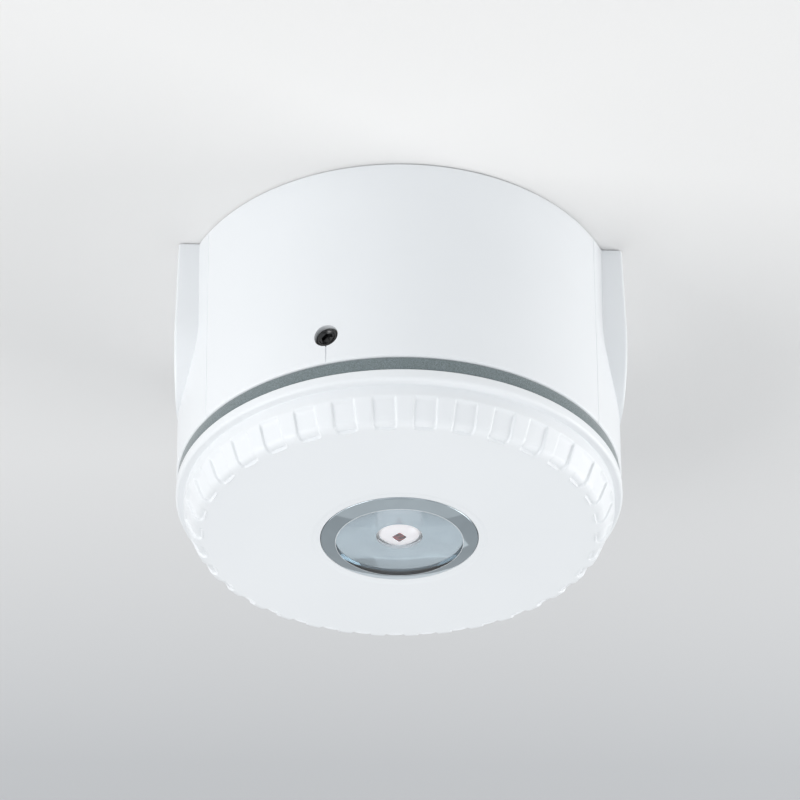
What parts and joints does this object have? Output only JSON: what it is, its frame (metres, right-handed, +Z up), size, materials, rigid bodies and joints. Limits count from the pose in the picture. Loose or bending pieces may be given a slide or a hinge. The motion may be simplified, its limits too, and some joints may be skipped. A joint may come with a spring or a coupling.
{
  "type": "ceiling visual alarm beacon",
  "caption": "Round ceiling-mounted visual alarm beacon: twist-off head with a clear central lens on a deep base with side conduit pads.",
  "frame": {"origin": "centre of the base's ceiling face", "axes": "+Z up into the ceiling, the head and lens face -Z, the side with the locking screw faces -Y, the conduit pads face +X and -X"},
  "size_m": [0.1026, 0.1046, 0.0654],
  "materials": {
    "housing_white": "smooth satin moulded plastic",
    "gasket_grey": "fine foam rubber",
    "seal_black": "matt rubber",
    "carrier_plastic": "fine texture",
    "plate_plastic": "fine texture",
    "brass": "machined",
    "screw_steel": "zinc plated",
    "contact_bronze": "rolled strip",
    "lock_black": "black oxide, glossy",
    "tip_nylon": "natural nylon",
    "lens_clear": "polished clear",
    "reflector_chrome": "vacuum metallised",
    "led_ceramic": "glazed",
    "die_red": "coated chip",
    "board_aluminium": "white-masked metal board",
    "pcb_green": "solder mask",
    "can_aluminium": "drawn can",
    "ferrite": "sintered ferrite",
    "chip_black": "moulded epoxy",
    "header_black": "moulded",
    "switch_red": "moulded",
    "switch_white": "moulded"
  },
  "bodies": {
    "base": {"base_housing": "housing_white", "ceiling_seal": "seal_black", "base_gasket": "gasket_grey", "cable_grommet": "seal_black", "conduit_plug_right": "housing_white", "conduit_plug_left": "housing_white", "contact_carrier": "carrier_plastic", "carrier_screws": "screw_steel", "terminal_clamps": "brass", "terminal_screws": "screw_steel", "contact_springs": "contact_bronze", "shorting_spring": "contact_bronze", "lock_insert": "brass"},
    "head": {"front_cover": "housing_white", "lens": "lens_clear", "lens_seal": "seal_black", "reflector": "reflector_chrome", "reflector_screws": "screw_steel", "led_lens": "lens_clear", "led_package": "led_ceramic", "led_die": "die_red", "led_board": "board_aluminium", "led_board_screws": "screw_steel", "led_header": "header_black", "led_header_pins": "contact_bronze", "control_pcb": "pcb_green", "capacitors": "can_aluminium", "inductor": "ferrite", "ic_chips": "chip_black", "dip_switch_body": "switch_red", "rear_plate": "plate_plastic", "rear_plate_screws": "screw_steel", "cover_seal": "seal_black", "contact_blades": "contact_bronze"},
    "lock_tip": {"lock_tip": "tip_nylon"},
    "lock_screw": {"lock_screw": "lock_black"},
    "dip_slider_1": {"dip_slider_1": "switch_white"},
    "dip_slider_2": {"dip_slider_2": "switch_white"},
    "dip_slider_3": {"dip_slider_3": "switch_white"},
    "dip_slider_4": {"dip_slider_4": "switch_white"}
  },
  "joints": [
    {"name": "head_twist", "type": "hinge", "parent": "base", "child": "head", "pos_m": [0, 0, -0.054], "axis": [0, 0, 1], "range_deg": [-20, 0]},
    {"name": "lock_travel", "type": "slide", "parent": "base", "child": "lock_tip", "axis": [-0.3305, -0.9438, 0], "range_m": [0, 0.0024]},
    {"name": "lock_turn", "type": "hinge", "parent": "lock_tip", "child": "lock_screw", "pos_m": [-0.01643, -0.04691, -0.044], "axis": [-0.3305, -0.9438, 0], "range_deg": [-90, 1170]},
    {"name": "option_1", "type": "slide", "parent": "head", "child": "dip_slider_1", "axis": [0, 1, 0], "range_m": [0, 0.0015]},
    {"name": "option_2", "type": "slide", "parent": "head", "child": "dip_slider_2", "axis": [0, 1, 0], "range_m": [-0.0015, 0]},
    {"name": "option_3", "type": "slide", "parent": "head", "child": "dip_slider_3", "axis": [0, 1, 0], "range_m": [0, 0.0015]},
    {"name": "option_4", "type": "slide", "parent": "head", "child": "dip_slider_4", "axis": [0, 1, 0], "range_m": [-0.0015, 0]}
  ],
  "couplings": [
    {"joint": "lock_turn", "follows": "lock_travel", "rad_per_m": 7854}
  ]
}
